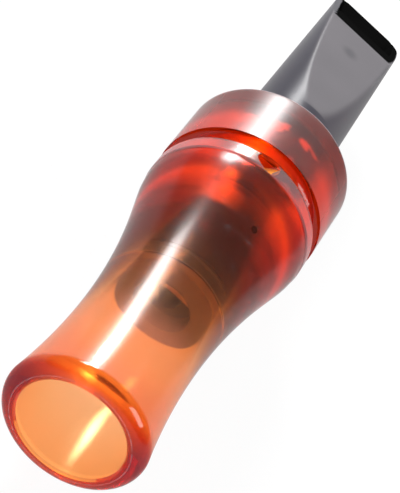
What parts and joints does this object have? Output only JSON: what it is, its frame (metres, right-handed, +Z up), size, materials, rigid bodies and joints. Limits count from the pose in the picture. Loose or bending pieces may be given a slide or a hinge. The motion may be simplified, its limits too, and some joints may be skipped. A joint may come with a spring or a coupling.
{
  "type": "bird call",
  "caption": "Closed-reed bird call: a flared translucent barrel with a lanyard groove, and a duckbill mouthpiece whose tube holds the reed unit and pulls out of the barrel.",
  "frame": {"origin": "on the surface that the call lies on, under the middle of its length", "axes": "+Y along the call's axis, from the bell to the mouthpiece; +Z up, which the bill's front facet faces; +X across the bill"},
  "size_m": [0.03, 0.131, 0.03],
  "materials": {
    "barrel_acrylic": "translucent orange, satin outside, polished rim, groove and bore",
    "smoke_plastic": "translucent smoke grey, satin gloss",
    "seal_rubber": "soft black",
    "plug_plastic": "moulded, dark brown",
    "board_plastic": "moulded, near black",
    "reed_film": "clear amber film",
    "cork": "cut cork"
  },
  "bodies": {
    "barrel": {"barrel": "barrel_acrylic"},
    "mouthpiece": {"mouthpiece": "smoke_plastic", "upper_o_ring": "seal_rubber", "lower_o_ring": "seal_rubber"},
    "reed_unit": {"reed_plug": "plug_plastic", "plug_o_ring": "seal_rubber", "tone_board": "board_plastic", "reed_wedge": "cork"},
    "reed": {"reed": "reed_film"}
  },
  "joints": [
    {"name": "mouthpiece_pull", "type": "slide", "parent": "barrel", "child": "mouthpiece", "axis": [0, 1, 0], "range_m": [0, 0.045]},
    {"name": "reed_unit_pull", "type": "slide", "parent": "mouthpiece", "child": "reed_unit", "axis": [0, -1, 0], "range_m": [0, 0.036]},
    {"name": "reed_flex", "type": "hinge", "parent": "reed_unit", "child": "reed", "pos_m": [0, -0.0253, 0.01568], "axis": [-1, 0, 0], "range_deg": [-1, 2.2], "stiffness_Nm_per_rad": 0.002}
  ]
}
